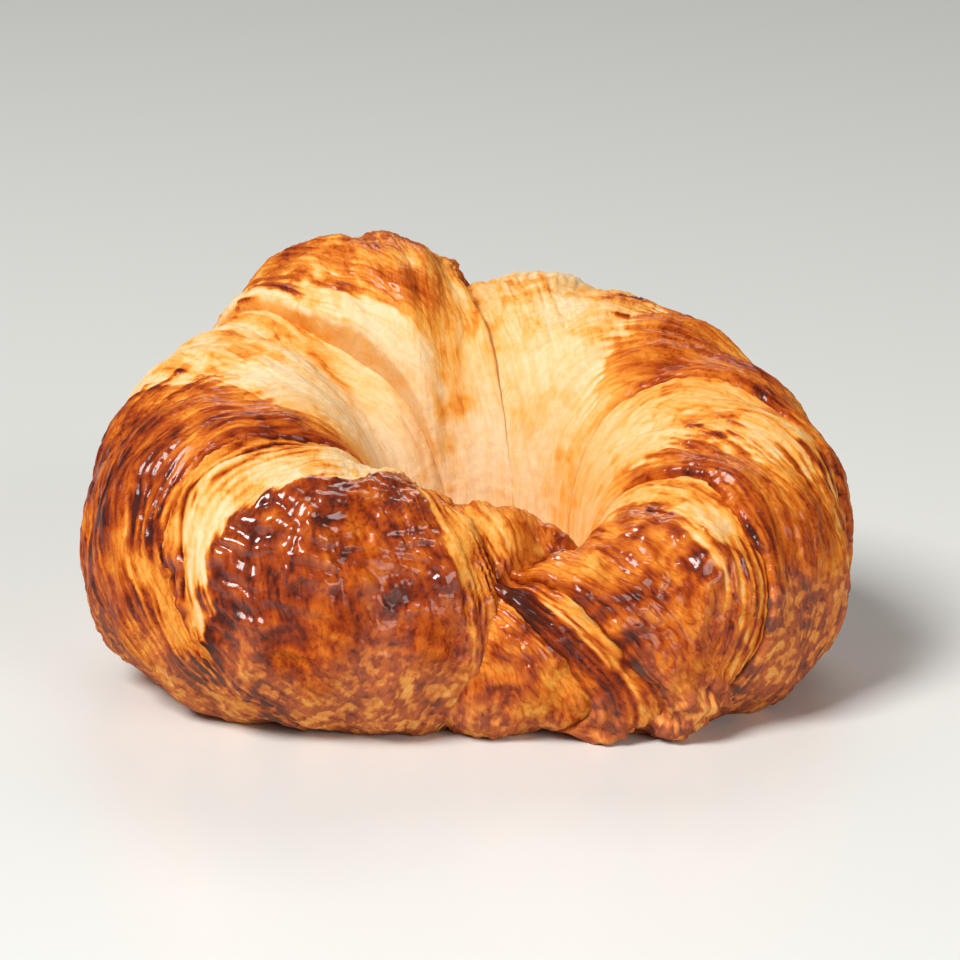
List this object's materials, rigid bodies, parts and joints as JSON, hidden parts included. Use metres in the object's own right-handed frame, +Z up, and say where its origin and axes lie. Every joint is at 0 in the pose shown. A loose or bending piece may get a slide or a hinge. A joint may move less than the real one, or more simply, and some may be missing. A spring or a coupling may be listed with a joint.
{
  "type": "croissant",
  "caption": "Butter croissant baked curled into a ring, its horns meeting at the front round a central hollow, each wrap of dough ending in a raised lip.",
  "frame": {"origin": "middle of the footprint's bounding box, on the table that the croissant rests on", "axes": "+Z up, +X along the croissant's width to the picture's right, +Y away from the side where the horns meet"},
  "size_m": [0.1228, 0.0992, 0.0654],
  "materials": {
    "crust": "baked dough crust, egg-washed glossy red-brown on the outer zones and pale, dry and layered beside each lip"
  },
  "bodies": {
    "root": {"croissant": "crust"}
  },
  "joints": []
}
